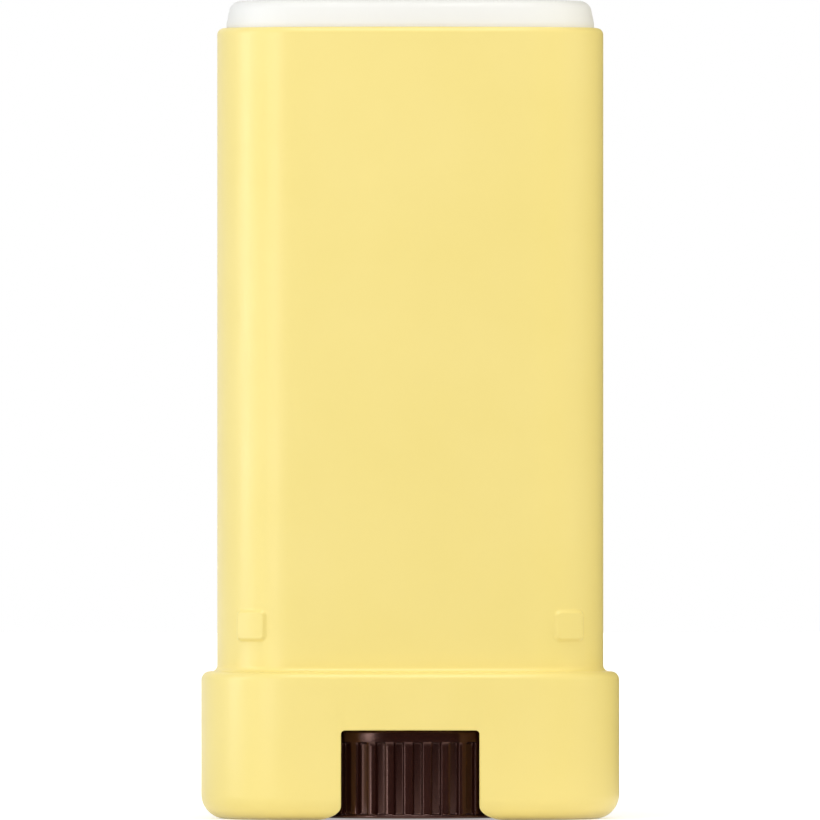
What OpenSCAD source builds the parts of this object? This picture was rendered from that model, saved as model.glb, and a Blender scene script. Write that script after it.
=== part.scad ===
// Flat-oval twist-up stick, uncapped, with the stick standing a little above the rim.
// Millimetres. The origin is the centre of the foot, +Z is up, X runs across the wide face, and the front faces -Y.
// Turning the dial turns the screw, and the elevator carries the stick up the barrel by one lead each turn.

/* [Barrel] */
// Width of the barrel, side to side
barrel_w = 31.4; // [28:0.1:40]
// Depth of the barrel, front to back
barrel_d = 16.4; // [14.5:0.1:20]
// Height of the barrel's rim above the foot
rim_z = 64.3; // [50:0.1:90]
// Thickness of the barrel's wall
barrel_wall = 0.65; // [0.5:0.05:1]
// Radius of the wide front and back faces
front_r = 58; // [45:1:90]
// Rounding of the rim's outer edge
lip_r = 0.55; // [0.2:0.05:0.6]

/* [Base] */
// How far the base stands out past the barrel, all round
step = 1.3; // [1.25:0.05:1.8]
// Height of the shoulder where the base meets the barrel
base_h = 12; // [11.2:0.1:16]
// Thickness of the base's wall
skirt_wall = 2.4; // [2.2:0.1:3]
// Rounding of the foot's outer edge
foot_r = 2; // [1:0.1:2]
// Rounding of the shoulder's outer edge
shoulder_r = 0.7; // [0.4:0.05:0.75]
// Fillet between the shoulder and the barrel
root_r = 0.5; // [0.2:0.05:0.5]
// Thickness of the deck that closes the barrel's lower end
deck_t = 1.6; // [1.2:0.1:2.2]
// Thickness of the round wall that guards the dial inside the base
guard_wall = 1.2; // [0.8:0.1:1.6]
// Thickness of the rib that ties the guard wall to each side of the base
side_rib_t = 0.9; // [0.6:0.1:1.4]
// Height of the guard wall's and side ribs' lower edges above the foot
rib_lift = 0.6; // [0.3:0.1:1.5]

/* [Window] */
// Width of the thumb window
window_w = 11.2; // [8:0.1:12.5]
// Height of the thumb window's upper edge
window_h = 7.3; // [6:0.1:7.5]
// Fillet in the window's upper corners
window_r = 0.3; // [0.1:0.05:1]
// How far each side of the window flares out at the foot
flare_w = 2.3; // [1:0.1:3]
// Height of the flare
flare_h = 1.2; // [0.8:0.1:2]

/* [Cap grips] */
// Distance from the barrel's side in to the middle of each grip pad
grip_inset = 2.75; // [2.2:0.05:3.4]
// Height of the grip pads' centres
grip_z = 15.55; // [14.4:0.05:20]
// Width of a grip pad, round the barrel's side
grip_w = 3.2; // [2:0.1:4]
// Height of a grip pad
grip_tall = 3.1; // [2:0.1:4]
// Rounding of a grip pad's corners
grip_r = 0.6; // [0.2:0.1:0.9]
// How far a grip pad stands proud
grip_proud = 0.3; // [0.15:0.05:0.5]

/* [Dial] */
// How far the dial's ribs lie behind the middle of the base's front
dial_recess = 0.55; // [0.3:0.05:1]
// Height of the wheel, from its lower edge to its upper face
dial_h = 7.2; // [6.4:0.1:8]
// Gap under the wheel's lower edge
dial_lift = 0.15; // [0.05:0.05:0.4]
// Gap between the wheel and the guard wall, and above the wheel
dial_gap = 0.25; // [0.2:0.05:0.5]
// Number of ribs round the wheel
rib_count = 36; // [24:2:40]
// Width of each rib
rib_w = 0.65; // [0.4:0.05:0.8]
// How far each rib stands out of its grooves
rib_h = 0.5; // [0.3:0.05:0.8]
// Height of the plain band above the ribs
band_h = 1.05; // [0.6:0.05:1.6]
// Height of the thin flange below the ribs
flange_h = 0.3; // [0.2:0.05:0.6]
// Thickness of the wheel's skin, behind the grooves
wheel_wall = 1.1; // [0.8:0.1:1.5]
// Thickness of the wheel's upper plate
plate_t = 1.2; // [0.8:0.1:2]
// Diameter of the wheel's hub
hub_d = 8.4; // [7.6:0.1:10]
// Height of the hub's lower end above the wheel's lower edge
hub_lift = 0.8; // [0.4:0.1:2]
// Number of spokes under the plate
spoke_count = 8; // [4:1:10]
// Thickness of each spoke
spoke_t = 0.8; // [0.6:0.1:1.2]

/* [Screw] */
// Outer diameter of the screw thread
thread_d = 6.6; // [6:0.1:7.4]
// Depth of the thread
thread_depth = 0.8; // [0.5:0.1:1]
// Rise for one turn of the dial
lead = 6; // [4:0.5:8]
// Number of thread starts
starts = 2; // [1:1:3]
// Height of the screw's upper end
screw_top = 60; // [45:0.5:62]
// Height of the plain tip above the thread
tip_h = 1.2; // [0.6:0.1:2]
// How far the plain tip stands in from the thread's root
tip_step = 0.4; // [0.2:0.1:0.8]
// Diameter of the journal that turns in the deck
journal_d = 6; // [5.4:0.1:6.4]
// Radial clearance of the journal in the deck
journal_gap = 0.05; // [0.03:0.01:0.09]
// Diameter of the collar that rests on the deck
collar_d = 9; // [8:0.1:11]
// Thickness of the collar
collar_t = 1; // [0.8:0.1:1.6]
// Diameter of the keyed stub in the dial's hub
stub_d = 5.2; // [4.4:0.1:5.8]
// Width across the stub's two flats
stub_flats = 4; // [3.2:0.1:4.6]

/* [Elevator] */
// Clearance between the barrel's bore and what slides in it
slide_gap = 0.1; // [0.08:0.01:0.3]
// Clearance between parts that are stacked or keyed together
seat_gap = 0.05; // [0.03:0.01:0.1]
// Gap under the lowered elevator
rest_gap = 0.15; // [0.05:0.05:0.5]
// Thickness of the elevator's plate
platform_t = 1.2; // [0.8:0.1:2]
// Height of the wiper rim above the plate
wiper_h = 1.8; // [1:0.1:4]
// Thickness of the wiper rim
wiper_t = 0.8; // [0.5:0.1:1.2]
// Height of the threaded boss, from the plate's underside
boss_h = 9; // [6:0.5:12]
// Thickness of the boss's wall outside the thread
boss_wall = 1; // [0.8:0.1:1.5]
// Clearance between the boss's thread and the screw
thread_gap = 0.25; // [0.2:0.05:0.35]
// Height of the webs that key the stick to the plate
web_h = 1.4; // [0.8:0.1:3]
// Thickness of those webs
web_t = 0.9; // [0.6:0.1:1.4]

/* [Stick] */
// How far the stick's edge stands above the rim
stick_proud = 2.2; // [1.8:0.1:4]
// Rise of the domed top above the stick's edge
crown_h = 0.3; // [0.1:0.05:1.5]
// How far the stick's sides stand straight above the rim, before they lean
lean_lift = 0.4; // [0.1:0.1:0.6]
// Lean of the stick's sides above the rim, in degrees
stick_lean = 12; // [0:1:18]
// Rounding of the stick's top edge
stick_edge_r = 0.95; // [0.3:0.05:1.1]
// Clearance round the screw inside the stick
core_gap = 0.2; // [0.1:0.05:0.4]

/* [Hidden] */
$fn = 96;
cut = 1;

// The oval section is four tangent arcs. A line through a front centre and a side centre meets the seam of the two.
half_w = barrel_w / 2;
half_d = barrel_d / 2;
side_exact = (half_w ^ 2 + half_d ^ 2 - 2 * half_d * front_r) / (2 * (half_w - front_r));
// To the nearest micrometre, so that the two arcs meet in whole numbers at their seam
side_r = round(1000 * side_exact) / 1000;
side_reach = front_r - side_r;
seam_turn = acos((front_r - half_d) / side_reach);
side_x = side_reach * sin(seam_turn);
// Each quarter is swept a little too far, and is then cut off at the planes of symmetry
spare_turn = 1;
// A solid plate is a swept ring with a flat core that reaches into it and stands a little proud of it
ring_depth = 3;
core_inset = 1.5;
core_proud = 0.1;

// How finely the thread and the stick are divided
thread_sides = 24;
thread_slices = 16;
side_steps = 10;
front_steps = 5;
edge_steps = 5;
flare_steps = 8;
dome_steps = 6;

// Heights, from the foot up
dial_top = dial_lift + dial_h;
deck_z = dial_top + dial_gap;
deck_top = deck_z + deck_t;
collar_top = deck_top + seat_gap + collar_t;
platform_z = collar_top + rest_gap;
platform_top = platform_z + platform_t;
boss_top = platform_z + boss_h;

dial_r = half_d + step - dial_recess;
guard_r = dial_r + dial_gap;
groove_r = dial_r - rib_h;
thread_r = thread_d / 2;
boss_r = thread_r + thread_gap + boss_wall;
bore_inset = barrel_wall + slide_gap;
wiper_inset = bore_inset + wiper_t + seat_gap;

yellow = [0.96, 0.85, 0.5];
brown = [0.16, 0.07, 0.05];
natural = [0.9, 0.9, 0.87];
cream = [0.96, 0.94, 0.89];

// A quarter of the oval, swept from a profile whose X is the distance outside the barrel's surface
module quarter_sweep(reach) {
    intersection() {
        translate([0, half_d - front_r, 0]) rotate(90 - seam_turn) {
            rotate_extrude(angle = seam_turn + spare_turn, start = 0) translate([front_r, 0]) children();
            translate([side_reach, 0, 0])
                rotate_extrude(angle = 90 - seam_turn + spare_turn, start = seam_turn - 90 - spare_turn)
                    translate([side_r, 0]) children();
        }
        translate([0, 0, -reach]) cube([reach, reach, 2 * reach]);
    }
}

module oval_sweep() {
    for (x = [0, 1], y = [0, 1]) mirror([x, 0, 0]) mirror([0, y, 0]) quarter_sweep(2 * rim_z) children();
}

module oval_plate(inset, z, height) {
    core_r = side_r - inset - core_inset;
    oval_sweep() translate([-inset - ring_depth, z + core_proud]) square([ring_depth, height - 2 * core_proud]);
    translate([0, 0, z]) linear_extrude(height) {
        square([2 * side_x, 2 * core_r], center = true);
        for (side = [-1, 1]) translate([side * side_x, 0]) circle(core_r);
    }
}

// What a rounding of radius r removes from a square corner that points to +X +Y
module round_off(r) {
    difference() {
        translate([-r, -r]) square(r + cut);
        translate([-r, -r]) circle(r);
        translate([-r - cut, -r - cut]) square([cut, r + 3 * cut]);
        translate([-r - cut, -r - cut]) square([r + 3 * cut, cut]);
    }
}

// Wall section of the barrel, shoulder and base
module shell_section() {
    difference() {
        union() {
            translate([-barrel_wall, deck_z]) square([barrel_wall, rim_z - deck_z]);
            translate([step - skirt_wall, 0]) square([skirt_wall, deck_z + deck_t / 2]);
            translate([-barrel_wall, deck_z]) square([barrel_wall + step, base_h - deck_z]);
            translate([0, base_h]) square(root_r);
        }
        translate([root_r, base_h + root_r]) circle(root_r);
        translate([0, rim_z]) round_off(lip_r);
        translate([step, base_h]) round_off(shoulder_r);
        translate([step, 0]) mirror([0, 1]) round_off(foot_r);
    }
}

// Thumb window, drawn in the X-Z plane, open at the foot where it flares
module window_section() {
    difference() {
        translate([-window_w / 2, -cut]) square([window_w, window_h + cut]);
        for (side = [-1, 1]) translate([side * window_w / 2, window_h]) mirror([side > 0 ? 0 : 1, 0])
            round_off(window_r);
    }
    for (side = [-1, 1]) polygon(concat([[0, flare_h], [0, -cut], [side * (window_w / 2 + flare_w), -cut]],
        [for (i = [0 : flare_steps]) let (a = 90 * i / flare_steps)
            [side * (window_w / 2 + flare_w * (1 - sin(a))), flare_h * (1 - cos(a))]]));
}

module rounded_square(w, h, r) {
    square([w - 2 * r, h], center = true);
    square([w, h - 2 * r], center = true);
    for (x = [-1, 1], y = [-1, 1]) translate([x * (w / 2 - r), y * (h / 2 - r)]) circle(r);
}

// A pad on the barrel's rounded side that the cap's rim clicks over, round-cornered, with its roots in the wall
module grip_pad() {
    lean = asin((side_r - grip_inset) / side_r);
    translate([side_x, 0, grip_z]) intersection() {
        rotate(90 - lean) rotate([90, 0, 90]) linear_extrude(2 * side_r) rounded_square(grip_w, grip_tall, grip_r);
        rotate_extrude() translate([side_r - barrel_wall / 2, -grip_tall])
            square([barrel_wall / 2 + grip_proud, 2 * grip_tall]);
    }
}

module side_ribs() {
    reach = half_w + step - skirt_wall / 2;
    for (side = [0, 180]) rotate(side)
        translate([guard_r, -side_rib_t / 2, rib_lift])
            cube([reach - guard_r, side_rib_t, deck_z + deck_t / 2 - rib_lift]);
}

// Round guard wall, trimmed to the base so that it doesn't show outside
module guard() {
    intersection() {
        translate([0, 0, rib_lift]) cylinder(r = guard_r + guard_wall, h = deck_z + deck_t / 2 - rib_lift);
        translate([0, 0, foot_r / 2]) oval_plate(skirt_wall / 2 - step, 0, deck_top);
    }
}

module body() color(yellow) difference() {
    union() {
        oval_sweep() shell_section();
        oval_plate(barrel_wall / 2, deck_z, deck_t);
        difference() {
            guard();
            translate([0, 0, -cut]) cylinder(r = guard_r, h = deck_top);
        }
        side_ribs();
        for (x = [0, 1], y = [0, 1]) mirror([x, 0, 0]) mirror([0, y, 0]) grip_pad();
    }
    translate([0, 0, -cut]) cylinder(r = guard_r, h = deck_z + cut);
    translate([0, 0, deck_z - cut]) cylinder(d = journal_d + 2 * journal_gap, h = deck_t + 2 * cut);
    rotate([90, 0, 0]) linear_extrude(barrel_d + 4 * step, center = true) window_section();
}

// The wheel's skin, plate, hub, upper band and lower flange, as one turned section
module wheel_section() {
    inner_r = groove_r - wheel_wall;
    difference() {
        translate([0, dial_lift]) square([dial_r, dial_h]);
        translate([groove_r, dial_lift + flange_h]) square([rib_h + cut, dial_h - flange_h - band_h]);
        translate([hub_d / 2, dial_lift - cut]) square([inner_r - hub_d / 2, dial_h - plate_t + cut]);
        translate([0, dial_lift - cut]) square([hub_d / 2, hub_lift + cut]);
        translate([dial_r, dial_lift]) mirror([0, 1]) round_off(flange_h / 2);
        translate([dial_r, dial_top]) round_off(flange_h);
    }
    translate([0, dial_top - plate_t / 2]) square([collar_d / 2, plate_t / 2 + dial_gap - seat_gap]);
}

// One rib of the grip, a flat-sided bar with a round tip
module rib_section() {
    tip_r = rib_w / 2;
    translate([dial_r - tip_r, 0]) circle(tip_r);
    translate([groove_r - tip_r, -tip_r]) square([rib_h, rib_w]);
}

module keyed(d, flats, z, height) {
    intersection() {
        translate([0, 0, z]) cylinder(d = d, h = height);
        translate([-d, -flats / 2, z - cut]) cube([2 * d, flats, height + 2 * cut]);
    }
}

module dial() color(brown) difference() {
    union() {
        rotate_extrude() wheel_section();
        for (i = [0 : rib_count - 1]) rotate(i * 360 / rib_count)
            translate([0, 0, dial_lift + flange_h / 2])
                linear_extrude(dial_h - flange_h / 2 - band_h / 2) rib_section();
        for (i = [0 : spoke_count - 1]) rotate((i + 0.5) * 360 / spoke_count)
            translate([hub_d / 2 - spoke_t, -spoke_t / 2, dial_lift + hub_lift])
                cube([groove_r - wheel_wall / 2 - hub_d / 2 + spoke_t, spoke_t, dial_h - hub_lift - plate_t / 2]);
    }
    keyed(stub_d + 2 * seat_gap, stub_flats + 2 * seat_gap, -cut, deck_z + 2 * cut);
}

// Cross-section of a round-crested thread, let out by a clearance. Twisting it along Z makes the helix.
module thread_section(gap) {
    mid_r = thread_r - thread_depth / 2;
    polygon([for (i = [0 : thread_sides - 1]) let (a = i * 360 / thread_sides)
        (mid_r + gap + thread_depth / 2 * cos(starts * a)) * [cos(a), sin(a)]]);
}

// A stretch of thread from one height to another, in step with the whole screw
module thread(low, high, gap) {
    rise = high - low;
    translate([0, 0, low]) rotate(360 * low / lead)
        linear_extrude(rise, twist = -360 * rise / lead, slices = ceil(thread_slices * rise / lead),
                       $fn = thread_sides) thread_section(gap);
}

module spindle() color(natural) {
    keyed(stub_d, stub_flats, dial_lift + hub_lift, deck_z - dial_lift - hub_lift + deck_t / 2);
    translate([0, 0, deck_z]) cylinder(d = journal_d, h = deck_t + seat_gap + collar_t / 2);
    translate([0, 0, deck_top + seat_gap]) cylinder(d = collar_d, h = collar_t);
    thread(deck_top + seat_gap + collar_t / 2, screw_top - tip_h, 0);
    translate([0, 0, screw_top - tip_h - cut]) cylinder(r = thread_r - thread_depth - tip_step, h = tip_h + cut);
}

// The webs that key the stick to the plate, let out by a clearance
module webs(gap) {
    reach = half_w - bore_inset - wiper_t / 2;
    depth = half_d - bore_inset - wiper_t / 2;
    top = platform_top + web_h + gap;
    translate([-reach, -web_t / 2 - gap, platform_z + platform_t / 2])
        cube([2 * reach, web_t + 2 * gap, top - platform_z - platform_t / 2]);
    translate([-web_t / 2 - gap, -depth, platform_z + platform_t / 2])
        cube([web_t + 2 * gap, 2 * depth, top - platform_z - platform_t / 2]);
}

module elevator() color(natural) difference() {
    union() {
        oval_plate(bore_inset, platform_z, platform_t);
        oval_sweep() translate([-bore_inset - wiper_t, platform_z + platform_t / 2])
            square([wiper_t, platform_t / 2 + wiper_h]);
        webs(0);
        translate([0, 0, platform_z]) cylinder(r = boss_r, h = boss_h);
    }
    thread(platform_z - cut, boss_top + cut, thread_gap);
}

// A point of the oval at an inset, where its outward normal points in direction a
function oval_point(a, inset) =
    abs(cos(a)) < sin(seam_turn) ? [(front_r - inset) * cos(a), (front_r - inset) * sin(a) - sign(sin(a)) * (front_r - half_d)]
                                 : [(side_r - inset) * cos(a) + sign(cos(a)) * side_x, (side_r - inset) * sin(a)];

// Directions of the normal all round, evenly spaced on the tight sides and again on the wide faces
side_turns = [for (i = [0 : 2 * side_steps]) (i / side_steps - 1) * (90 - seam_turn)];
front_turns = [for (i = [1 : 2 * front_steps - 1]) 90 + (i / front_steps - 1) * seam_turn];
oval_turns = concat(side_turns, front_turns, [for (a = side_turns) a + 180], [for (a = front_turns) a + 180]);

function ring(inset, z, shrink = 1) = [for (a = oval_turns) let (p = shrink * oval_point(a, inset)) [p.x, p.y, z]];

// Joins rings of equal length into one closed solid, with a flat floor and a fan at the top
module loft(rings, peak) {
    n = len(rings[0]);
    m = len(rings);
    walls = [for (j = [0 : m - 2], i = [0 : n - 1]) let (k = (i + 1) % n, a = j * n, b = a + n)
        each [[a + i, b + i, b + k], [a + i, b + k, a + k]]];
    fan = [for (i = [0 : n - 1]) [(m - 1) * n + i, m * n, (m - 1) * n + (i + 1) % n]];
    polyhedron([for (r = rings) each r, peak], concat([[for (i = [0 : n - 1]) i]], walls, fan));
}

// The poured stick: a straight oval in the bore, sides that lean in above the rim, a round edge and a low dome
module stick_form() {
    seat_z = platform_top + seat_gap;
    wiper_top = platform_top + wiper_h + seat_gap;
    lean_z = rim_z + lean_lift;
    edge_z = rim_z + stick_proud;
    bend_z = edge_z - stick_edge_r;
    bend_low = bend_z + stick_edge_r * sin(stick_lean);
    bend_inset = bore_inset + (bend_low - lean_z) * tan(stick_lean) + stick_edge_r * cos(stick_lean);
    loft(concat(
        [ring(wiper_inset, seat_z), ring(wiper_inset, wiper_top), ring(bore_inset, wiper_top), ring(bore_inset, lean_z)],
        [for (i = [0 : edge_steps]) let (e = stick_lean + (90 - stick_lean) * i / edge_steps)
            ring(bend_inset - stick_edge_r * cos(e), bend_z + stick_edge_r * sin(e))],
        [for (i = [1 : dome_steps - 1]) let (s = 1 - i / dome_steps)
            ring(bend_inset, edge_z + crown_h * (1 - s ^ 2), s)]),
        [0, 0, edge_z + crown_h]);
}

module balm() color(cream) difference() {
    stick_form();
    translate([0, 0, platform_z]) cylinder(r = thread_r + core_gap, h = screw_top + core_gap - platform_z);
    translate([0, 0, platform_z]) cylinder(r = boss_r + seat_gap, h = boss_h + seat_gap);
    webs(seat_gap);
}

body();
dial();
spindle();
elevator();
balm();
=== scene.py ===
# %% [markdown]
# # A twist-up sunscreen stick, without its cap
#
# The real thing is a slim oval tube of satin yellow plastic. A dark brown ribbed wheel sits in its wider
# base and shows through a window at the front and one at the back. Turning the wheel turns a screw, which
# lifts a carriage with the solid white stick on it.
#
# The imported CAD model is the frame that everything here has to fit. This script dresses it: each moulding
# is made again as one fine surface, worked out with numpy, and gets the finish of the real material. Sizes
# are in millimetres until a mesh is filled, and Z is up from the surface that the stick stands on.

import bpy
import numpy as np
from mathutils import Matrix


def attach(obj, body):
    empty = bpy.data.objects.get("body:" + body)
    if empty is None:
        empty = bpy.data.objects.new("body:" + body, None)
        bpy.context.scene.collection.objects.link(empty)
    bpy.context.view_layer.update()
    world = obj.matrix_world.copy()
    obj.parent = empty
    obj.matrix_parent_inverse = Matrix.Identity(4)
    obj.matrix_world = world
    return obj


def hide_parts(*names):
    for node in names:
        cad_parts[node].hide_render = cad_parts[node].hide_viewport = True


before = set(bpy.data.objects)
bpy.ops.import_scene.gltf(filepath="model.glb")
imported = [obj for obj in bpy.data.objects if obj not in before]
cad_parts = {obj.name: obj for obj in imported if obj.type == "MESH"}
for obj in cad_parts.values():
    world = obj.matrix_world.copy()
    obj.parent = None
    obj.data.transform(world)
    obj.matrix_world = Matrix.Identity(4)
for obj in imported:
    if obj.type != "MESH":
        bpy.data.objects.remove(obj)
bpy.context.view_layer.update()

# %% [markdown]
# ## The camera
#
# The photograph was taken from far away with a long lens: both sides of the tube are parallel, and the foot
# looks straight. A long lens is copied here with a far camera and a narrow view, so that the frame is 66.7
# mm wide at the tube's axis. The lens looks level at the middle of the stick.

# %% Place the camera
VIEW_WIDTH = 66.70
CAMERA_AWAY = 1800
CAMERA_SIDE = -0.02
CAMERA_HEIGHT = 33.24
SENSOR = 36

camera_data = bpy.data.cameras.new("camera")
camera_data.sensor_width = SENSOR
camera_data.lens = SENSOR * CAMERA_AWAY / VIEW_WIDTH
camera_data.clip_end = 10
camera = bpy.data.objects.new("camera", camera_data)
camera.location = np.array([CAMERA_SIDE, -CAMERA_AWAY, CAMERA_HEIGHT]) / 1000
camera.rotation_euler = (np.pi / 2, 0, 0)
bpy.context.scene.collection.objects.link(camera)
bpy.context.scene.camera = camera
print(f"lens {camera_data.lens:.0f} mm")

# %% [markdown]
# ## Sizes
#
# These are the sizes of the CAD model, so that each surface lies where its solid is. The tube's section is
# an oval of four arcs that meet without a kink: two wide ones for the faces and two tight ones for the
# sides.

# %% Sizes that several pieces share
HALF_WIDTH, HALF_DEPTH = 15.7, 8.2
FACE_RADIUS, SIDE_RADIUS = 58.0, 7.535
SEAM_TURN = np.arccos((FACE_RADIUS - HALF_DEPTH) / (FACE_RADIUS - SIDE_RADIUS))
SIDE_CENTRE = (FACE_RADIUS - SIDE_RADIUS) * np.sin(SEAM_TURN)

RIM_TOP, TUBE_WALL = 64.3, 0.65
BASE_STEP, BASE_TOP, BASE_WALL = 1.3, 12.0, 2.4
DECK_LOW, DECK_TOP = 7.6, 9.2
WHEEL_LOW, WHEEL_TOP, WHEEL_RADIUS = 0.15, 7.35, 8.95
WHEEL_BORE = 9.2
CARRIAGE_LOW, CARRIAGE_TOP = 10.4, 11.6
BOSS_RADIUS, BOSS_TOP = 4.55, 19.4
SLIDE_GAP, SEAT_GAP = 0.1, 0.05
CUT = 1.0


def oval(turn, outset):
    """Points of the oval, outset mm outside the tube's surface, where the outward normal points along turn.

    Each point is the centre of its arc plus (radius of the arc + outset) times the unit normal. The normal
    belongs to a wide arc while it leans less than SEAM_TURN from the Y axis, and otherwise to a side arc.
    """
    turn, outset = np.broadcast_arrays(turn, outset)
    normal = np.stack([np.cos(turn), np.sin(turn)], axis=-1)
    wide = np.abs(normal[..., 0]) < np.sin(SEAM_TURN)
    face_centre = np.stack([0 * turn, -np.sign(normal[..., 1]) * (FACE_RADIUS - HALF_DEPTH)], axis=-1)
    side_centre = np.stack([np.sign(normal[..., 0]) * SIDE_CENTRE, 0 * turn], axis=-1)
    centre = np.where(wide[..., None], face_centre, side_centre)
    radius = np.where(wide, FACE_RADIUS, SIDE_RADIUS) + outset
    return centre + radius[..., None] * normal


def arc(centre, radius, start, end, steps):
    """An arc as (steps + 1) points: the centre plus radius times (cos, sin) of evenly spaced angles, in
    degrees."""
    angle = np.radians(np.linspace(start, end, steps + 1))
    return np.array(centre) + radius * np.column_stack([np.cos(angle), np.sin(angle)])


def even_turns(side_steps, face_steps):
    """Directions of the normal once round the oval, evenly spaced on each arc, from the front's right seam.

    A side arc spans pi less 2 SEAM_TURN, and a wide arc spans 2 SEAM_TURN.
    """
    side = np.linspace(SEAM_TURN - np.pi / 2, np.pi / 2 - SEAM_TURN, side_steps, endpoint=False)
    face = np.linspace(np.pi / 2 - SEAM_TURN, np.pi / 2 + SEAM_TURN, face_steps, endpoint=False)
    return np.concatenate([side, face, side + np.pi, face + np.pi])


print(f"seam turn {np.degrees(SEAM_TURN):.2f} degrees, side arcs centred {SIDE_CENTRE:.3f} mm out")

# %% [markdown]
# ## From a grid of points to a mesh
#
# Every piece starts as a grid: each row is a closed loop round the piece, and the rows follow a profile.
# Only the quads between the points are missing, and they come from index arithmetic on whole arrays. A grid
# either closes its rows into a ring, or ends in two flat caps. Solids made this way are watertight, so one
# can be cut out of another with the Manifold solver, which is quick and keeps them watertight.

# %% Mesh helpers
def new_piece(name, grid, ring=False):
    """Fills a mesh from a (rows, columns, 3) grid in mm. Its loops run anticlockwise and its rows climb outside.

    Point (i, j) has the index i * columns + j. Each quad joins it to its neighbours j + 1 and i + 1, counted
    round.
    """
    rows, columns = grid.shape[:2]
    i = np.arange(rows if ring else rows - 1)[:, None]
    j = np.arange(columns)[None, :]
    above, beside = (i + 1) % rows, (j + 1) % columns
    quads = np.stack([i * columns + j, i * columns + beside,
                      above * columns + beside, above * columns + j], axis=-1)
    corners, sizes = [quads.ravel()], [np.full(quads.size // 4, 4)]
    if not ring:
        corners += [np.arange(columns)[::-1], (rows - 1) * columns + np.arange(columns)]
        sizes += [[columns, columns]]
    corners, sizes = np.concatenate(corners), np.concatenate(sizes)
    mesh = bpy.data.meshes.new(name)
    mesh.vertices.add(rows * columns)
    mesh.vertices.foreach_set("co", (grid / 1000).astype(np.float32).ravel())
    mesh.loops.add(len(corners))
    mesh.loops.foreach_set("vertex_index", corners.astype(np.int32))
    mesh.polygons.add(len(sizes))
    mesh.polygons.foreach_set("loop_start", np.concatenate([[0], np.cumsum(sizes)[:-1]]).astype(np.int32))
    mesh.update(calc_edges=True)
    mesh.validate()
    piece = bpy.data.objects.new(name, mesh)
    bpy.context.scene.collection.objects.link(piece)
    return piece


def rise(loops, heights):
    """Puts plane loops, of shape (rows, columns, 2), at the given heights, as a (rows, columns, 3) grid."""
    heights = np.broadcast_to(np.asarray(heights, float)[:, None], loops.shape[:2])
    return np.dstack([loops, heights])


def prism(name, outline, low, high):
    """A straight solid over one plane outline."""
    return new_piece(name, rise(np.stack([outline, outline]), [low, high]))


def combine(piece, other, operation="DIFFERENCE"):
    """Cuts the other solid out of the piece, or joins it on, and deletes the other."""
    boolean = piece.modifiers.new("combine", "BOOLEAN")
    boolean.operation, boolean.solver, boolean.object = operation, "MANIFOLD", other
    graph = bpy.context.evaluated_depsgraph_get()
    shaped = bpy.data.meshes.new_from_object(piece.evaluated_get(graph))
    piece.modifiers.clear()
    shaped.name = piece.name
    piece.data = shaped
    bpy.data.objects.remove(other)


def dress(piece, node, body, material, crease=30):
    """Finishes a piece: smooth shading up to a crease angle, its material, and its place in the frame."""
    piece.data.shade_smooth()
    piece.data.set_sharp_from_angle(angle=np.radians(crease))
    piece.data.materials.clear()
    piece.data.materials.append(material)
    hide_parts(node)
    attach(piece, body)
    points = np.empty(3 * len(piece.data.vertices), np.float32)
    piece.data.vertices.foreach_get("co", points)
    low, high = 1000 * points.reshape(-1, 3).min(axis=0), 1000 * points.reshape(-1, 3).max(axis=0)
    print(f"{piece.name}: {len(piece.data.polygons)} faces, {np.round(low, 2)} to {np.round(high, 2)} mm")


# %% [markdown]
# ## Moulded surfaces
#
# Satin mouldings are not perfectly smooth. The mould is lightly textured, so the skin has a very fine
# grain, and its gloss drifts a little from place to place. Each material could hold its own noise nodes,
# but all three plastics and the stick need the same ones. So they are built once, in a node group on Object
# coordinates, whose inputs set their strengths.

# %% Node group: moulded skin
def group_with(name, inputs, outputs):
    """A new shader node group with float inputs (name, default) and outputs (name, socket type)."""
    group = bpy.data.node_groups.new(name, "ShaderNodeTree")
    for label, default in inputs:
        socket = group.interface.new_socket(label, in_out="INPUT", socket_type="NodeSocketFloat")
        socket.default_value = default
    for label, kind in outputs:
        group.interface.new_socket(label, in_out="OUTPUT", socket_type=kind)
    return group, group.nodes.new("NodeGroupInput"), group.nodes.new("NodeGroupOutput")


def noise(tree, scale, detail, coordinates):
    """A noise texture of the given scale, in waves per metre."""
    node = tree.nodes.new("ShaderNodeTexNoise")
    node.inputs["Scale"].default_value = scale
    node.inputs["Detail"].default_value = detail
    tree.links.new(coordinates, node.inputs["Vector"])
    return node.outputs["Fac"]


def spread(tree, value, low, high):
    """Maps a noise value, which is mostly between 0.3 and 0.7, to between low and high.

    Each end may be a number or a socket.
    """
    node = tree.nodes.new("ShaderNodeMapRange")
    node.inputs["From Min"].default_value = 0.3
    node.inputs["From Max"].default_value = 0.7
    tree.links.new(value, node.inputs["Value"])
    for label, end in (("To Min", low), ("To Max", high)):
        if isinstance(end, bpy.types.NodeSocket):
            tree.links.new(end, node.inputs[label])
        else:
            node.inputs[label].default_value = end
    return node.outputs["Result"]


BUMP_HEIGHT = 0.00002
DRIFT_WAVES, CLOUD_WAVES = 160, 90

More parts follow.
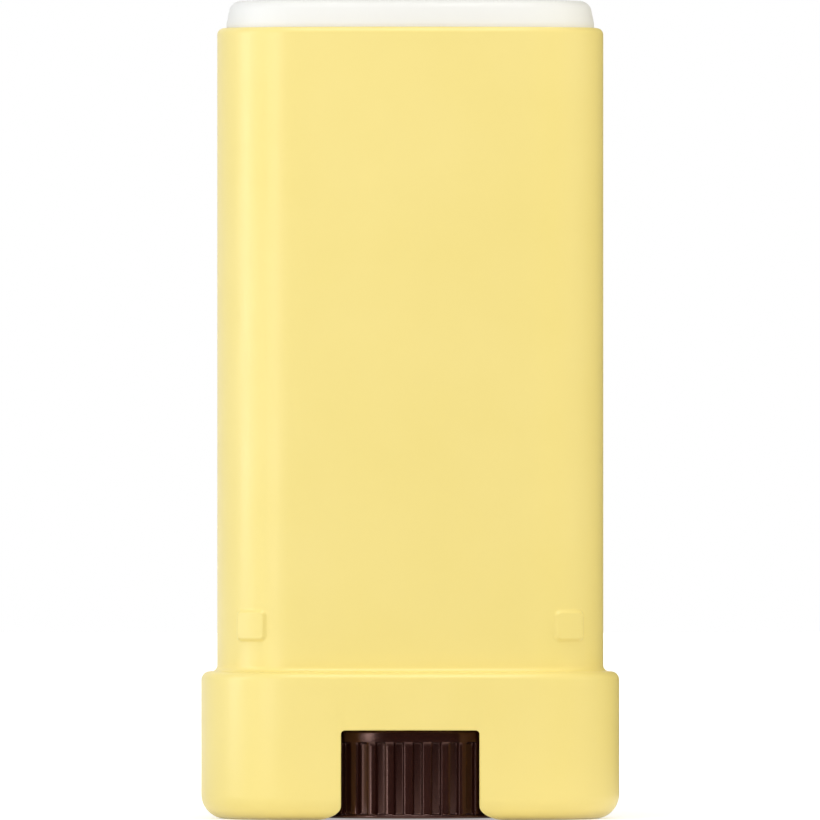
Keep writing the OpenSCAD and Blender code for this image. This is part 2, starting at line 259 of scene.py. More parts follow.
skin, skin_in, skin_out = group_with(
    "moulded skin",
    [("Grain", 0.1), ("Grain Size", 4000.0), ("Gloss Low", 0.35), ("Gloss High", 0.45)],
    [("Roughness", "NodeSocketFloat"), ("Normal", "NodeSocketVector"), ("Cloud", "NodeSocketFloat")])
place = skin.nodes.new("ShaderNodeTexCoord").outputs["Object"]
fine = skin.nodes.new("ShaderNodeTexNoise")
fine.inputs["Detail"].default_value = 3
skin.links.new(place, fine.inputs["Vector"])
skin.links.new(skin_in.outputs["Grain Size"], fine.inputs["Scale"])
bump = skin.nodes.new("ShaderNodeBump")
bump.inputs["Distance"].default_value = BUMP_HEIGHT
skin.links.new(skin_in.outputs["Grain"], bump.inputs["Strength"])
skin.links.new(fine.outputs["Fac"], bump.inputs["Height"])
drift = noise(skin, DRIFT_WAVES, 2, place)
skin.links.new(spread(skin, drift, skin_in.outputs["Gloss Low"], skin_in.outputs["Gloss High"]),
               skin_out.inputs["Roughness"])
skin.links.new(bump.outputs["Normal"], skin_out.inputs["Normal"])
skin.links.new(spread(skin, noise(skin, CLOUD_WAVES, 2, place), 0.0, 1.0), skin_out.inputs["Cloud"])
print(f"moulded skin: {len(skin.nodes)} nodes")

# %% [markdown]
# ## Materials
#
# Each finish is a Principled BSDF. Its colour runs between two close tones along the skin's slow noise,
# because even a clean moulding isn't one flat colour. The numbers that are the same all over sit on the
# shader's own sockets. The brown one reflects a little more strongly than plastic is set to by default,
# with a warm tint, because a dark gloss gets most of its look from its reflections.

# %% Materials
def finish_of(name, tones, gloss, grain, grain_size=4000.0, **sockets):
    """A material whose base colour runs between two tones, with a roughness (low, high) and a grain."""
    material = bpy.data.materials.new(name)
    material.use_nodes = True
    tree = material.node_tree
    shader = tree.nodes["Principled BSDF"]
    surface = tree.nodes.new("ShaderNodeGroup")
    surface.node_tree = skin
    for label, value in (("Grain", grain), ("Grain Size", grain_size), ("Gloss Low", gloss[0]),
                         ("Gloss High", gloss[1])):
        surface.inputs[label].default_value = value
    blend = tree.nodes.new("ShaderNodeMix")
    blend.data_type = "RGBA"
    blend.inputs["A"].default_value = (*tones[0], 1)
    blend.inputs["B"].default_value = (*tones[1], 1)
    tree.links.new(surface.outputs["Cloud"], blend.inputs["Factor"])
    tree.links.new(blend.outputs["Result"], shader.inputs["Base Color"])
    tree.links.new(surface.outputs["Roughness"], shader.inputs["Roughness"])
    tree.links.new(surface.outputs["Normal"], shader.inputs["Normal"])
    for label, value in sockets.items():
        shader.inputs[label.replace("_", " ")].default_value = value
    return material


yellow_satin = finish_of(
    "yellow satin plastic", [(0.895, 0.735, 0.240), (0.910, 0.750, 0.260)], (0.32, 0.38), 0.12, IOR=1.49)
brown_gloss = finish_of(
    "brown gloss plastic", [(0.017, 0.0042, 0.0030), (0.021, 0.0052, 0.0038)], (0.18, 0.25), 0.10,
    Specular_IOR_Level=0.75, Specular_Tint=(1.0, 0.60, 0.52, 1))
natural_plastic = finish_of(
    "natural plastic", [(0.76, 0.75, 0.69), (0.80, 0.79, 0.73)], (0.35, 0.45), 0.10, IOR=1.49)
balm_wax = finish_of(
    "balm wax", [(0.83, 0.822, 0.785), (0.86, 0.852, 0.815)], (0.42, 0.55), 0.25, grain_size=1500.0, IOR=1.44)
print(f"{len(bpy.data.materials)} materials")

# %% [markdown]
# ## The tube
#
# The tube, its wider base and the deck across the middle are one moulding. A block with bevels and
# subdivision would come close, but the real oval is made of exact arcs, and formulas give those with an
# even grid. So the outside is one profile carried round the oval: up the rounded foot, over the soft
# shoulder, through a small fillet and up to the rounded lip. Four low pads, which hold the cap on the real
# one, are part of the same surface: the points there move outwards. They are slightly smaller and softer
# than in the CAD model. The grid is finer where the pads are, because their edges need it.

# %% Tube: the outside
FOOT_ROUND, SHOULDER_ROUND, ROOT_ROUND, LIP_ROUND = 2.0, 0.7, 0.5, 0.55
PAD_INSET, PAD_HEIGHT, PAD_WIDTH, PAD_TALL = 2.75, 15.75, 3.2, 2.7
PAD_ROUND, PAD_PROUD, PAD_EDGE, PAD_MARGIN = 0.6, 0.24, 0.36, 0.04
PAD_TURN = np.pi / 2 - np.arcsin((SIDE_RADIUS - PAD_INSET) / SIDE_RADIUS)


def pad_relief(across, up):
    """How far a pad stands out at a point, measured across and up from its centre.

    The distance to the outline of a rectangle with round corners is the length of the part of
    (|across|, |up|) beyond the inner rectangle, less the corner's radius. The relief rises with half a cosine
    wave over PAD_EDGE.
    """
    across, up = np.broadcast_arrays(across, up)
    beyond = np.stack([np.abs(across) - PAD_WIDTH / 2, np.abs(up) - PAD_TALL / 2]) + PAD_ROUND
    distance = np.hypot(*np.maximum(beyond, 0)) + np.minimum(beyond.max(axis=0), 0) - PAD_ROUND
    depth = np.clip(-distance / PAD_EDGE, 0, 1)
    return PAD_PROUD * (1 - np.cos(np.pi * depth)) / 2


def across_pad(size):
    """Places across a pad of the given size: close together over each flank, and wider apart between.

    A flank and a rounded corner both need close places, so the close stretch is as long as the longer one.
    """
    half, soft = size / 2, max(PAD_EDGE, PAD_ROUND)
    flank = np.linspace(-half - PAD_MARGIN, -half + soft, 15)
    return np.concatenate([flank, np.linspace(-half + soft, half - soft, 8)[1:-1], -flank[::-1]])


turns = np.sort(even_turns(44, 34) % (2 * np.pi))
pad_columns = np.arcsin(across_pad(PAD_WIDTH) / SIDE_RADIUS)
for pad_turn in (PAD_TURN, np.pi - PAD_TURN, np.pi + PAD_TURN, 2 * np.pi - PAD_TURN):
    clear = (turns < pad_turn + pad_columns[0]) | (turns > pad_turn + pad_columns[-1])
    turns = np.sort(np.concatenate([turns[clear], pad_turn + pad_columns]))
pad_heights = PAD_HEIGHT + across_pad(PAD_TALL)
pad_rows = np.column_stack([0 * pad_heights, pad_heights])
profile = np.concatenate([
    arc((BASE_STEP - FOOT_ROUND, FOOT_ROUND), FOOT_ROUND, -90, 0, 12),
    arc((BASE_STEP - SHOULDER_ROUND, BASE_TOP - SHOULDER_ROUND), SHOULDER_ROUND, 0, 90, 8),
    arc((ROOT_ROUND, BASE_TOP + ROOT_ROUND), ROOT_ROUND, 270, 180, 6),
    pad_rows,
    arc((-LIP_ROUND, RIM_TOP - LIP_ROUND), LIP_ROUND, 0, 90, 8)])
outset = np.broadcast_to(profile[:, :1], (len(profile), len(turns))).copy()
side_turn = np.abs(np.arctan2(np.abs(np.sin(turns)), np.abs(np.cos(turns))) - PAD_TURN)
outset += pad_relief(SIDE_RADIUS * np.sin(side_turn)[None, :], (profile[:, 1] - PAD_HEIGHT)[:, None])
tube = new_piece("tube", rise(oval(turns[None, :], outset), profile[:, 1]))
print(f"tube skin: {len(profile)} rows of {len(turns)} points")

# %% [markdown]
# The inside is cut out of that solid. The bore for the stick has a slightly broken edge at the rim. From
# below come the round bore for the wheel, the hole for the screw, and the pockets between the wheel's guard
# and the outer wall, which keep the walls of a moulding even.

# %% Tube: the inside
RIM_EDGE = 0.06
SCREW_HOLE = 3.05
GUARD_RADIUS, RIB_HALF, RIB_LIFT, POCKET_END = 10.4, 0.45, 0.6, 0.25

smooth_turns = even_turns(60, 30)
bore_profile = np.concatenate([
    [[-TUBE_WALL, DECK_TOP]],
    arc((-TUBE_WALL + RIM_EDGE, RIM_TOP - RIM_EDGE), RIM_EDGE, 180, 90, 4),
    [[-TUBE_WALL + RIM_EDGE, RIM_TOP + CUT]]])
combine(tube, new_piece("bore", rise(oval(smooth_turns[None, :], bore_profile[:, :1]), bore_profile[:, 1])))
combine(tube, prism("wheel bore", arc((0, 0), WHEEL_BORE, 0, 360, 180)[:-1], -CUT, DECK_LOW))
combine(tube, prism("screw hole", arc((0, 0), SCREW_HOLE, 0, 360, 72)[:-1], -CUT, DECK_TOP + CUT))
combine(tube, prism("foot recess", oval(smooth_turns, BASE_STEP - BASE_WALL), -CUT, RIB_LIFT))


def pocket_outline(corner):
    """Outline of the pocket in one corner: out along the rib, round the base's inner wall, and back along the
    guard.

    The inner wall is cut off where it comes within POCKET_END of the guard, and no point lies nearer to the X
    axis than half a rib.
    """
    wall = oval(np.linspace(0, np.pi / 2, 400), BASE_STEP - BASE_WALL)
    wall = wall[(np.hypot(*wall.T) > GUARD_RADIUS + POCKET_END) & (wall[:, 1] > RIB_HALF)]
    start = np.degrees(np.arcsin(RIB_HALF / GUARD_RADIUS))
    end = np.degrees(np.arctan2(wall[-1, 1], wall[-1, 0]))
    outline = np.concatenate([wall, arc((0, 0), GUARD_RADIUS, end, start, 24)]) * corner
    return outline if corner[0] * corner[1] > 0 else outline[::-1]


for corner in ((1, 1), (-1, 1), (-1, -1), (1, -1)):
    combine(tube, prism("pocket", pocket_outline(corner), -CUT, DECK_LOW))
print(f"tube carved: {len(tube.data.polygons)} faces")

# %% [markdown]
# The thumb windows show the wheel. A window's outline flares out at the foot along a quarter of an ellipse,
# and its upper corners are barely rounded. Its cutter is that outline carried straight back through the
# wall. Where it meets the outer skin it opens out a little along a quarter circle, so the edge of the
# window is softly rounded, as on the real moulding.

# %% Tube: the windows
WINDOW_HALF, WINDOW_TOP, WINDOW_ROUND = 5.6, 7.3, 0.3
FLARE_WIDE, FLARE_TALL = 2.3, 1.2
WINDOW_EDGE, WINDOW_DEEP = 0.1, 4.0

flare = arc((1, 1), 1, 270, 180, 14) * (FLARE_WIDE, FLARE_TALL) + (WINDOW_HALF, 0)
window = np.concatenate([
    [[WINDOW_HALF + FLARE_WIDE, -CUT]],
    flare,
    arc((WINDOW_HALF - WINDOW_ROUND, WINDOW_TOP - WINDOW_ROUND), WINDOW_ROUND, 0, 90, 6)])
window = np.concatenate([window, window[::-1] * (-1, 1)])
along = np.roll(window, -1, axis=0) - np.roll(window, 1, axis=0)
outward = np.column_stack([along[:, 1], -along[:, 0]]) / np.hypot(*along.T)[:, None]


def face_depth(across, up):
    """How far the front skin stands from the tube's axis at a point of the base.

    It lies on the wide arc, let out by the base's step, and drawn in round the foot along its quarter circle:
    the depth is the root of (radius + outset) squared less across squared, less the arc centre's distance.
    """
    below = FOOT_ROUND - np.clip(up, 0, FOOT_ROUND)
    outset = BASE_STEP - FOOT_ROUND + np.sqrt(FOOT_ROUND ** 2 - below ** 2)
    return np.sqrt((FACE_RADIUS + outset) ** 2 - across ** 2) - FACE_RADIUS + HALF_DEPTH


edge = arc((WINDOW_EDGE, WINDOW_EDGE), WINDOW_EDGE, 180, 270, 5)
edge = np.concatenate([edge, [[WINDOW_EDGE, -CUT]]])
loops = window[None] + edge[:, :1, None] * outward[None]
depths = face_depth(loops[..., 0], loops[..., 1]) - edge[:, 1:]
grid = np.stack([loops[..., 0], -depths, loops[..., 1]], axis=-1)
deep = np.column_stack([window[:, 0], np.full(len(window), -WINDOW_DEEP), window[:, 1]])
grid = np.concatenate([deep[None], grid])
for side in (1, -1):
    combine(tube, new_piece("window", grid * (side, side, 1)))
dress(tube, "body", "body", yellow_satin)

# %% [markdown]
# ## The wheel
#
# The wheel is a turned shape with 36 ribs. A cylinder with bars joined on would leave hard creases, so it
# is one grid instead. Its closed loop goes round the section: up the ribbed outside, over the top, down
# through the keyed hole of the hub and back along the hollow underside. Each column of the grid has a fixed
# angle. A rib's outline is three arcs on each side: a small one at the root, a tight one at the corner and
# a wide one over the crown, so the points sit close together where the light turns fastest. In the ribbed
# rows the radius follows that outline, and in the plain band at the top and the flange at the foot it
# doesn't.

# %% Wheel: the ribbed shell
RIB_COUNT, RIB_HEIGHT, RIB_BACK, RIB_PHASE = 36, 0.5, 0.06, np.radians(1.0)
CROWN_ROUND, CROWN_LEAN, CORNER_ROUND, RIB_ROOT = 1.0, 16, 0.13, 0.14
FLANK_LEAN, FLANK_RUN = 8, 0.02
BAND, FLANGE, BAND_ROUND, FLANGE_ROUND = 1.05, 0.3, 0.3, 0.15
WHEEL_INSIDE, PLATE_LOW, INNER_EDGE = 7.35, 6.15, 0.1
HUB_RADIUS, HUB_LOW, COLLAR_RADIUS, COLLAR_TOP = 4.2, 0.95, 4.5, 7.55
KEY_RADIUS, KEY_HALF = 2.65, 2.05
GROOVE = WHEEL_RADIUS - RIB_HEIGHT

crown_top = RIB_HEIGHT - RIB_BACK
crown_centre = np.array([0, crown_top - CROWN_ROUND])
crown = arc(crown_centre, CROWN_ROUND, 90 + CROWN_LEAN, 90, 3)
corner_centre = crown[0] + CORNER_ROUND / CROWN_ROUND * (crown_centre - crown[0])
corner = arc(corner_centre, CORNER_ROUND, 180 - FLANK_LEAN, 90 + CROWN_LEAN, 5)
root_centre = (corner[0, 0] - FLANK_RUN - RIB_ROOT, RIB_ROOT)
root = arc(root_centre, RIB_ROOT, 270, 360 - FLANK_LEAN, 4)
half_rib = np.concatenate([root, corner[:-1], crown])
pitch = 2 * np.pi * GROOVE / RIB_COUNT
rib = np.concatenate([[[-pitch / 2, 0]], half_rib, half_rib[-2::-1] * (-1, 1)])
rib_turns = np.arange(RIB_COUNT) * 2 * np.pi / RIB_COUNT - RIB_PHASE
columns = (rib_turns[:, None] + rib[:, 0] / (GROOVE + rib[:, 1])).ravel()
heights = np.tile(rib[:, 1], RIB_COUNT)


def keyed(angle, radius, half):
    """Radius of a round bar with two flats: the smaller of the bar's radius and half the flats' distance over
    |sin angle|."""
    return np.minimum(radius, half / np.maximum(np.abs(np.sin(angle)), 1e-6))


def ribbed(plain, height, share):
    """Stations (plain radius, height, share of the ribs' relief) from columns of values."""
    return np.column_stack(np.broadcast_arrays(plain, height, share)).astype(float)


band_low = WHEEL_TOP - BAND
flange_top = WHEEL_LOW + FLANGE
foot_arc = arc((WHEEL_RADIUS - FLANGE_ROUND, WHEEL_LOW + FLANGE_ROUND), FLANGE_ROUND, -90, 60, 5)
top_arc = arc((WHEEL_RADIUS - BAND_ROUND, WHEEL_TOP - BAND_ROUND), BAND_ROUND, 0, 90, 6)
ribs_begin = np.array([[0.02, 0.35], [0.06, 0.85], [0.14, 1.0]])
ribs_end = np.array([[0.3, 1.0], [0.12, 1.0], [0.04, 0.85], [0.0, 0.25]])
plain_rows = np.array([0.05, 0.07, 0.14])
stations = np.concatenate([
    ribbed(foot_arc[:, 0], foot_arc[:, 1], 0),
    ribbed(WHEEL_RADIUS, flange_top + ribs_begin[:, 0], ribs_begin[:, 1]),
    ribbed(WHEEL_RADIUS, band_low - ribs_end[:, 0], ribs_end[:, 1]),
    ribbed(WHEEL_RADIUS, band_low + plain_rows, 0),
    ribbed(top_arc[:, 0], top_arc[:, 1], 0),
    ribbed([COLLAR_RADIUS, COLLAR_RADIUS], [WHEEL_TOP, COLLAR_TOP], 0)])
rows = stations[:, :1] + stations[:, 2:] * (GROOVE + heights - stations[:, :1])
key = keyed(columns, KEY_RADIUS, KEY_HALF)
inner = np.array([[HUB_RADIUS, HUB_LOW], [HUB_RADIUS, PLATE_LOW], [WHEEL_INSIDE, PLATE_LOW],
                  [WHEEL_INSIDE, WHEEL_LOW + INNER_EDGE], [WHEEL_INSIDE + INNER_EDGE, WHEEL_LOW]])
rows = np.concatenate([rows, [key, key], np.broadcast_to(inner[:, :1], (len(inner), len(columns)))])
levels = np.concatenate([stations[:, 1], [COLLAR_TOP, HUB_LOW], inner[:, 1]])
direction = np.column_stack([np.cos(columns), np.sin(columns)])
wheel = new_piece("wheel", rise(rows[..., None] * direction, levels), ring=True)
print(f"wheel shell: {len(levels)} rows of {len(columns)} points, ribs {pitch:.2f} mm apart")

# %% [markdown]
# Eight thin spokes under the plate tie the hub to the rim. A spoke is a bar with round ends, joined on with
# a Boolean union.

# %% Wheel: the spokes
SPOKES, SPOKE_THICK, SPOKE_INTO = 8, 0.8, 0.6


def bar_outline(start, end, thick, angle):
    """A bar along a radius, from start to end, with round ends: two half circles, turned by angle."""
    half = thick / 2
    outline = np.concatenate([arc((end - half, 0), half, -90, 90, 8),
                              arc((start + half, 0), half, 90, 270, 8)])
    return outline @ np.array([[np.cos(angle), np.sin(angle)], [-np.sin(angle), np.cos(angle)]])


for angle in (np.arange(SPOKES) + 0.5) * 2 * np.pi / SPOKES:
    spoke = bar_outline(HUB_RADIUS - SPOKE_THICK, WHEEL_INSIDE + SPOKE_THICK, SPOKE_THICK, angle)
    combine(wheel, prism("spoke", spoke, HUB_LOW, PLATE_LOW + SPOKE_INTO), "UNION")
dress(wheel, "dial", "dial", brown_gloss, crease=35)

# %% [markdown]
# ## The screw
#
# The screw is hidden in use, but it is a moulding of its own. A Screw modifier could wind its thread, but
# the ends would need closing by hand. The thread has two starts and a round crest, so one formula makes it:
# the radius swings with the cosine of twice the angle, measured from a line that climbs one turn per lead.
# Below it come the collar, the smooth journal in the deck, and the keyed stub in the hub.

# %% Screw
THREAD_RADIUS, THREAD_DEPTH, THREAD_LEAD, THREAD_STARTS = 3.3, 0.8, 6.0, 2
THREAD_LOW, THREAD_HIGH, SCREW_TOP = 10.25, 58.8, 60.0
TIP_RADIUS, JOURNAL_RADIUS, STUB_RADIUS, STUB_HALF = 2.1, 3.0, 2.6, 2.0
SCREW_COLLAR = 4.5
STUB_EDGE, TIP_EDGE = 0.15, 0.3


def thread_radius(angle, height, gap=0.0):
    """Radius of the thread: its mean, let out by a gap, plus half the depth times the cosine of the number of
    starts times the angle from the line that climbs one turn per lead."""
    climb = angle - 2 * np.pi * height / THREAD_LEAD
    return THREAD_RADIUS - THREAD_DEPTH / 2 + gap + THREAD_DEPTH / 2 * np.cos(THREAD_STARTS * climb)


angles = np.linspace(0, 2 * np.pi, 48, endpoint=False)
around = np.column_stack([np.cos(angles), np.sin(angles)])
climbs = np.linspace(THREAD_LOW, THREAD_HIGH, 260)
stub = keyed(angles, STUB_RADIUS, STUB_HALF)
plain = np.array([[JOURNAL_RADIUS, DECK_LOW], [JOURNAL_RADIUS, DECK_TOP + SEAT_GAP],
                  [SCREW_COLLAR, DECK_TOP + SEAT_GAP], [SCREW_COLLAR, THREAD_LOW]])
tip_ends = np.array([[TIP_RADIUS, THREAD_HIGH], [TIP_RADIUS, SCREW_TOP - TIP_EDGE],
                     [TIP_RADIUS - TIP_EDGE, SCREW_TOP]])
radii = np.concatenate([
    [stub - STUB_EDGE, stub, stub],
    np.broadcast_to(plain[:, :1], (len(plain), len(angles))),
    thread_radius(angles[None, :], climbs[:, None]),
    np.broadcast_to(tip_ends[:, :1], (len(tip_ends), len(angles)))])
levels = np.concatenate([[HUB_LOW, HUB_LOW + STUB_EDGE, DECK_LOW], plain[:, 1], climbs, tip_ends[:, 1]])
screw = new_piece("screw", rise(radii[..., None] * around, levels))
dress(screw, "spindle", "dial", natural_plastic, crease=40)

# %% [markdown]
# ## The carriage
#
# The carriage slides in the tube and can't turn, because it is oval too. One closed loop makes it: up the
# outside of the thin wiper wall, down its inside, across the plate to the boss, over the boss, down its
# thread and back underneath. Where the loop crosses the plate, it goes from the oval to a circle, so the
# two are blended there. Two crossed webs on the plate key the stick to it.

# %% Carriage
WIPER_TOP, WIPER_INSET = 13.4, 1.55
SLIDE_INSET = TUBE_WALL + SLIDE_GAP
THREAD_GAP = 0.25
WEB_THICK, WEB_TOP, WEB_LIFT = 0.9, 13.0, 0.6
WEB_SHORT, WEB_END, WEB_ROOT = 0.4, 0.2, 0.5
WALL_EDGE, BOSS_EDGE = 0.1, 0.15

turns = even_turns(40, 16)
circle = np.column_stack([np.cos(turns), np.sin(turns)])
wall = np.array([[SLIDE_INSET + WALL_EDGE, CARRIAGE_LOW], [SLIDE_INSET, CARRIAGE_LOW + WALL_EDGE],
                 [SLIDE_INSET, WIPER_TOP - WALL_EDGE], [SLIDE_INSET + WALL_EDGE, WIPER_TOP],
                 [WIPER_INSET - WALL_EDGE, WIPER_TOP], [WIPER_INSET, WIPER_TOP - WALL_EDGE],
                 [WIPER_INSET, CARRIAGE_TOP]])
climbs = np.linspace(BOSS_TOP, CARRIAGE_LOW, 60)
bore = thread_radius(turns[None, :], climbs[:, None], THREAD_GAP)
boss = np.array([[BOSS_RADIUS, CARRIAGE_TOP], [BOSS_RADIUS, BOSS_TOP - BOSS_EDGE],
                 [BOSS_RADIUS - BOSS_EDGE, BOSS_TOP]])
loops = np.concatenate([
    oval(turns[None, :], -wall[:, :1]), boss[:, :1, None] * circle, bore[..., None] * circle])
levels = np.concatenate([wall[:, 1], boss[:, 1], climbs])
carriage = new_piece("carriage", rise(loops, levels), ring=True)
reach_x = HALF_WIDTH - SLIDE_INSET - WEB_SHORT
reach_y = HALF_DEPTH - SLIDE_INSET - WEB_SHORT
for angle, reach in ((0, reach_x), (np.pi / 2, reach_y), (np.pi, reach_x), (-np.pi / 2, reach_y)):
    web = bar_outline(BOSS_RADIUS - WEB_ROOT, reach + WEB_END, WEB_THICK, angle)
    combine(carriage, prism("web", web, CARRIAGE_LOW + WEB_LIFT, WEB_TOP), "UNION")
dress(carriage, "elevator", "carrier", natural_plastic, crease=40)

# %% [markdown]
# ## The stick
#
# The stick is poured into the tube, so it has the tube's oval. Just above the rim its sides begin to lean
# in, its edge is round and its top is almost flat. A Bevel modifier would round the edge, but not lean the
# sides, so rows of the oval follow that outline up, and the last rows shrink towards the middle for the low
# dome. Inside are the sockets for the boss and the screw.

# %% Stick
STICK_EDGE_TOP, STICK_CROWN, STICK_ROUND, STICK_LEAN = 66.5, 0.3, 0.95, 12.0
STICK_STRAIGHT = 0.4
LEAN_LOW = RIM_TOP + STICK_STRAIGHT
BEND_RUN, BEND_IN = 0.15, 0.01
CORE_RADIUS, CORE_TOP = 3.5, 60.2

turns = even_turns(64, 40)
circle = np.column_stack([np.cos(turns), np.sin(turns)])
lean = np.radians(STICK_LEAN)
bend = STICK_EDGE_TOP - STICK_ROUND
bend_inset = (SLIDE_INSET + (bend + STICK_ROUND * np.sin(lean) - LEAN_LOW) * np.tan(lean)
              + STICK_ROUND * np.cos(lean))
side = np.array([[WIPER_INSET + SEAT_GAP, CARRIAGE_TOP + SEAT_GAP],
                 [WIPER_INSET + SEAT_GAP, WIPER_TOP + SEAT_GAP], [SLIDE_INSET, WIPER_TOP + SEAT_GAP],
                 [SLIDE_INSET, LEAN_LOW - BEND_RUN], [SLIDE_INSET + BEND_IN, LEAN_LOW]])
shoulder = arc((-bend_inset, bend), STICK_ROUND, STICK_LEAN, 90, 12) * (-1, 1)
shrink = np.linspace(1, 0.02, 16)[1:]
top_ring = oval(turns, -bend_inset)
sockets = np.array([[CORE_RADIUS, CORE_TOP], [CORE_RADIUS, BOSS_TOP + SEAT_GAP],
                    [BOSS_RADIUS + SEAT_GAP, BOSS_TOP + SEAT_GAP],
                    [BOSS_RADIUS + SEAT_GAP, CARRIAGE_TOP + SEAT_GAP]])
outline = np.concatenate([side, shoulder])
loops = np.concatenate([sockets[:, :1, None] * circle, oval(turns[None, :], -outline[:, :1]),
                        shrink[:, None, None] * top_ring])
levels = np.concatenate([sockets[:, 1], outline[:, 1], STICK_EDGE_TOP + STICK_CROWN * (1 - shrink ** 2)])
stick = new_piece("stick", rise(loops, levels))
for angle, reach in ((0, reach_x), (np.pi / 2, reach_y), (np.pi, reach_x), (-np.pi / 2, reach_y)):
    slot = bar_outline(BOSS_RADIUS - WEB_ROOT, reach + 2 * WEB_END, WEB_THICK + 2 * SEAT_GAP, angle)
    combine(stick, prism("web slot", slot, CARRIAGE_TOP - CUT, WEB_TOP + SEAT_GAP))
dress(stick, "balm", "carrier", balm_wax, crease=40)

# %% [markdown]
# ## The floor
#
# The photograph's background is pure white, with no edge between floor and wall. A curved backdrop would do
# that in a studio, but it would need much light. The floor here is a large pale plane that keeps the soft
# shadow of the stick. A glow that only the camera, reflections and glass see lifts it, by NEAR_LIFT up to
# NEAR metres away and to full white at FAR. So no edge shows, and the glow doesn't light the stick.

# %% Floor
FLOOR_HALF = 1.5
NEAR, FAR, NEAR_LIFT = 0.06, 0.22, 0.45


def white_rays(tree):
    """1 for rays from the camera, from a reflection and through glass, and 0 for those that light things."""
    light_path = tree.nodes.new("ShaderNodeLightPath")
    seen = light_path.outputs["Is Camera Ray"]
    for label in ("Is Glossy Ray", "Is Transmission Ray"):
        larger = tree.nodes.new("ShaderNodeMath")
        larger.operation = "MAXIMUM"
        tree.links.new(seen, larger.inputs[0])
        tree.links.new(light_path.outputs[label], larger.inputs[1])
        seen = larger.outputs[0]
    return seen


corners = np.array([[-1, -1, 0], [1, -1, 0], [1, 1, 0], [-1, 1, 0]]) * FLOOR_HALF
floor_mesh = bpy.data.meshes.new("floor")
floor_mesh.from_pydata(corners.tolist(), [], [(0, 1, 2, 3)])
floor = bpy.data.objects.new("floor", floor_mesh)
bpy.context.scene.collection.objects.link(floor)

paper = bpy.data.materials.new("pale floor")
paper.use_nodes = True
tree = paper.node_tree
shader = tree.nodes["Principled BSDF"]
for label, value in (("Base Color", (0.90, 0.90, 0.90, 1)), ("Roughness", 0.9), ("Specular IOR Level", 0.1),
                     ("Emission Color", (1, 1, 1, 1))):
    shader.inputs[label].default_value = value
place = tree.nodes.new("ShaderNodeTexCoord").outputs["Object"]
away = tree.nodes.new("ShaderNodeVectorMath")
away.operation = "LENGTH"
tree.links.new(place, away.inputs[0])
fade = tree.nodes.new("ShaderNodeMapRange")
for label, value in (("From Min", NEAR), ("From Max", FAR), ("To Min", NEAR_LIFT), ("To Max", 1.0)):
    fade.inputs[label].default_value = value
tree.links.new(away.outputs["Value"], fade.inputs["Value"])
lift = tree.nodes.new("ShaderNodeMath")
lift.operation = "MULTIPLY"
tree.links.new(white_rays(tree), lift.inputs[0])
tree.links.new(fade.outputs["Result"], lift.inputs[1])
tree.links.new(lift.outputs[0], shader.inputs["Emission Strength"])
floor_mesh.materials.append(paper)
print(f"floor {2 * FLOOR_HALF:.0f} m wide")

# %% [markdown]
# ## The lamps
#
# The light is a studio's. A tall narrow soft box on the left gives the tube its bright edge, another
# between it and the camera draws the light lines on the wheel, and one hangs above. The two boxes in front
# and the one on the right only fill: they light every surface evenly, but reflections don't show them,
# because their image would cover the glossy wheel. Their strengths together let a colour render about as it
# is written.

# %% Lamps
def soft_box(name, target, direction, distance, size, power, colour=(1, 1, 1), mirrored=True):
    """A rectangular area light at a distance from a target, in mm, facing it.

    Direction is (azimuth, elevation) in degrees: azimuth 0 is where the camera stands, and it grows towards
    the right. The lamp stands along (sin a cos e, -cos a cos e, sin e). Reflections show it if mirrored.
    """
    azimuth, elevation = np.radians(direction)
    level = np.array([np.sin(azimuth), -np.cos(azimuth)]) * np.cos(elevation)
    away = np.append(level, np.sin(elevation))
    data = bpy.data.lights.new(name, "AREA")
    data.shape, data.size, data.size_y = "RECTANGLE", size[0] / 1000, size[1] / 1000
    data.energy, data.color = power, colour
    lamp = bpy.data.objects.new(name, data)
    lamp.location = (np.array(target) + away * distance) / 1000
    lamp.rotation_euler = (np.pi / 2 - elevation, 0, azimuth)
    lamp.visible_camera = False
    lamp.visible_glossy = mirrored
    bpy.context.scene.collection.objects.link(lamp)


MIDDLE = (0, 0, 35)
soft_box("key light", MIDDLE, (-86, 8), 450, (90, 420), 0.66, colour=(0.84, 0.91, 1.0))
soft_box("left light", MIDDLE, (-44, 8), 650, (75, 450), 0.85)
soft_box("front light", MIDDLE, (-4, 8), 700, (320, 450), 1.30, mirrored=False)
soft_box("front fill", MIDDLE, (28, 10), 700, (350, 450), 0.45, mirrored=False)
soft_box("side fill", MIDDLE, (88, 10), 600, (400, 600), 2.0, colour=(1.0, 0.96, 0.80), mirrored=False)
soft_box("top light", MIDDLE, (-5, 68), 500, (320, 220), 0.95)

# %% [markdown]
# ## A black cloth
#
# A dark glossy thing on white paper looks grey, because it mirrors the paper. A studio lays and hangs black
# cloth where that image would come from. Here it is one strip of rings: it lies just above the floor in
# front and on the right of the stick, and climbs a metre away. Only reflections see it, so the floor stays
# white and keeps its shadow.

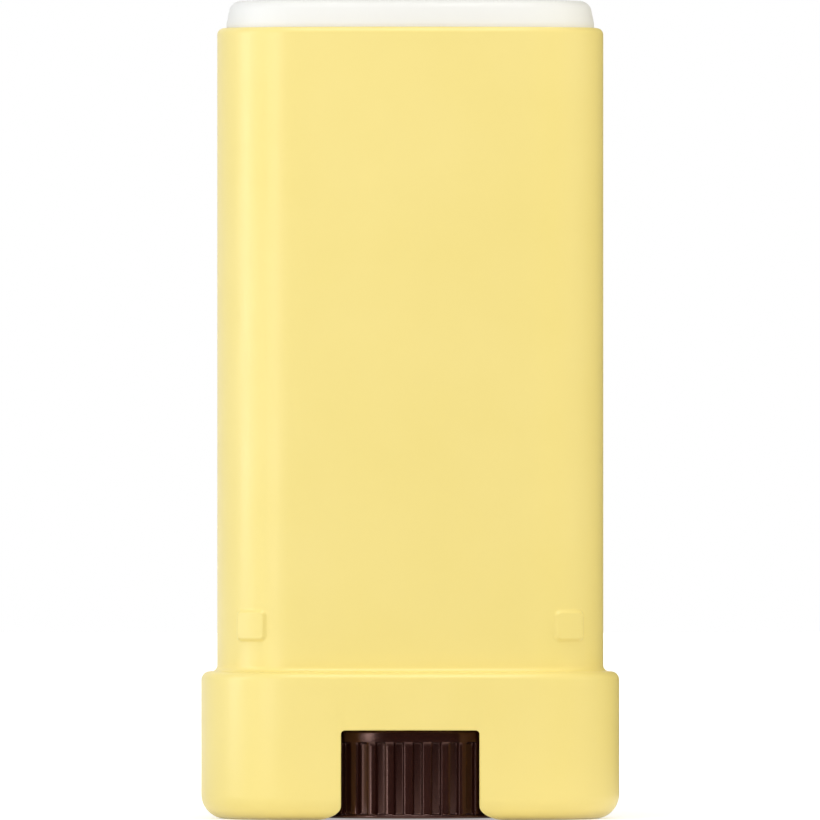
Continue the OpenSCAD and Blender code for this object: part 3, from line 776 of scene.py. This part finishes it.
# %% Black cloth
CLOTH_NEAR, CLOTH_AWAY, CLOTH_LOW, CLOTH_TALL = 40, 1000, 0.5, 1200
CLOTH_START, CLOTH_END, CLOTH_STEPS = -50, 175, 60

bearings = np.radians(np.linspace(CLOTH_START, CLOTH_END, CLOTH_STEPS))
outward = np.column_stack([np.sin(bearings), -np.cos(bearings)])
rings = np.array([CLOTH_NEAR, CLOTH_AWAY, CLOTH_AWAY])[:, None, None] * outward
points = rise(rings, [CLOTH_LOW, CLOTH_LOW, CLOTH_TALL]).reshape(-1, 3) / 1000
first = np.arange(len(rings) - 1)[:, None] * CLOTH_STEPS + np.arange(CLOTH_STEPS - 1)[None, :]
strips = np.stack([first, first + 1, first + 1 + CLOTH_STEPS, first + CLOTH_STEPS], axis=-1).reshape(-1, 4)
curtain_mesh = bpy.data.meshes.new("black curtain")
curtain_mesh.from_pydata(points.tolist(), [], strips.tolist())
curtain = bpy.data.objects.new("curtain", curtain_mesh)
bpy.context.scene.collection.objects.link(curtain)
curtain.visible_camera = False
curtain.visible_diffuse = False
curtain.visible_shadow = False

black_cloth = bpy.data.materials.new("black cloth")
black_cloth.use_nodes = True
shader = black_cloth.node_tree.nodes["Principled BSDF"]
shader.inputs["Base Color"].default_value = (0.01, 0.01, 0.01, 1)
shader.inputs["Roughness"].default_value = 1.0
curtain_mesh.materials.append(black_cloth)
print(f"cloth of {len(strips)} strips")

# %% [markdown]
# ## The world
#
# The world is white to the camera, to reflections and through glass. To everything else it is dim, so that
# it only softens the shadows.

# %% World
WORLD_LIGHT = 0.25

world = bpy.data.worlds.new("studio")
bpy.context.scene.world = world
world.use_nodes = True
tree = world.node_tree
brightness = tree.nodes.new("ShaderNodeMapRange")
brightness.inputs["To Min"].default_value = WORLD_LIGHT
brightness.inputs["To Max"].default_value = 1.0
tree.links.new(white_rays(tree), brightness.inputs["Value"])
tree.links.new(brightness.outputs["Result"], tree.nodes["Background"].inputs["Strength"])
tree.nodes["Background"].inputs["Color"].default_value = (1, 1, 1, 1)
bpy.context.scene.view_settings.view_transform = "Standard"
print(f"world light {WORLD_LIGHT}")
